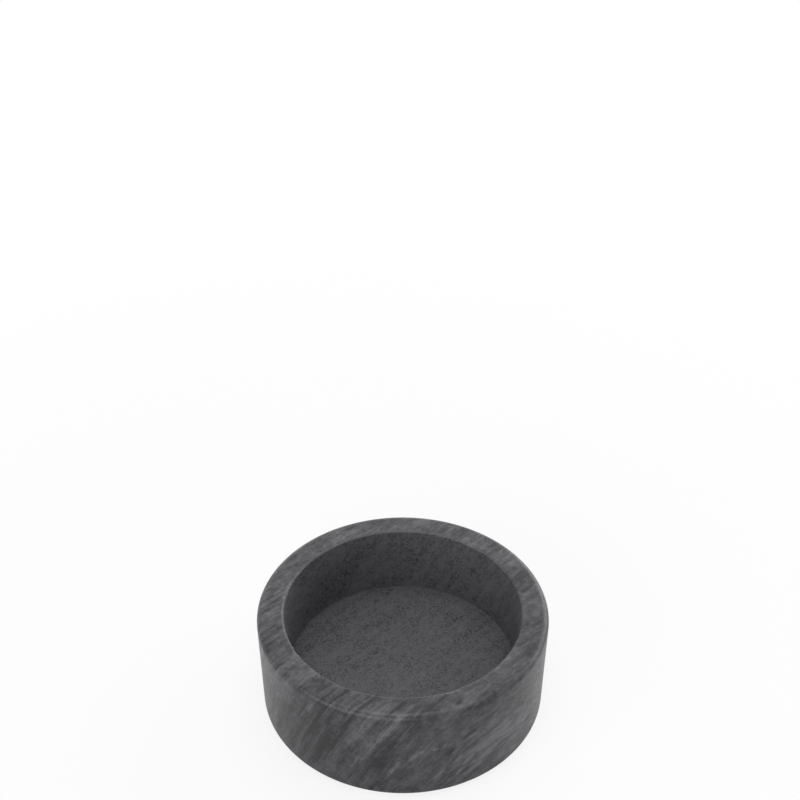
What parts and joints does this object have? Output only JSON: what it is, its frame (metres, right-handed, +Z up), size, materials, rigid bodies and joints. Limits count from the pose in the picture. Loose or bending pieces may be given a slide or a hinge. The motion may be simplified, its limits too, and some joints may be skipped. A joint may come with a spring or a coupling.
{
  "type": "wine bottle coaster",
  "caption": "Round stone coaster with a deep flat-floored well that holds the foot of a wine bottle, a thick wall with a soft-edged flat rim, and foam pads under the base.",
  "frame": {"origin": "on the coaster's axis, in the plane that its foam pads stand on", "axes": "+Z up along the axis; +X to the right and +Y away from the camera in the picture; the pads lie on the diagonals between X and Y"},
  "size_m": [0.127, 0.127, 0.05],
  "materials": {
    "marble": "honed charcoal-grey marble, satin, with diagonal light and dark streaks",
    "pad_foam": "matt black closed-cell foam, die cut",
    "adhesive_film": "translucent acrylic adhesive film"
  },
  "bodies": {
    "root": {"coaster_body": "marble", "foot_pad_1": "pad_foam", "foot_pad_2": "pad_foam", "foot_pad_3": "pad_foam", "foot_pad_4": "pad_foam", "pad_adhesive_1": "adhesive_film", "pad_adhesive_2": "adhesive_film", "pad_adhesive_3": "adhesive_film", "pad_adhesive_4": "adhesive_film"}
  },
  "joints": []
}
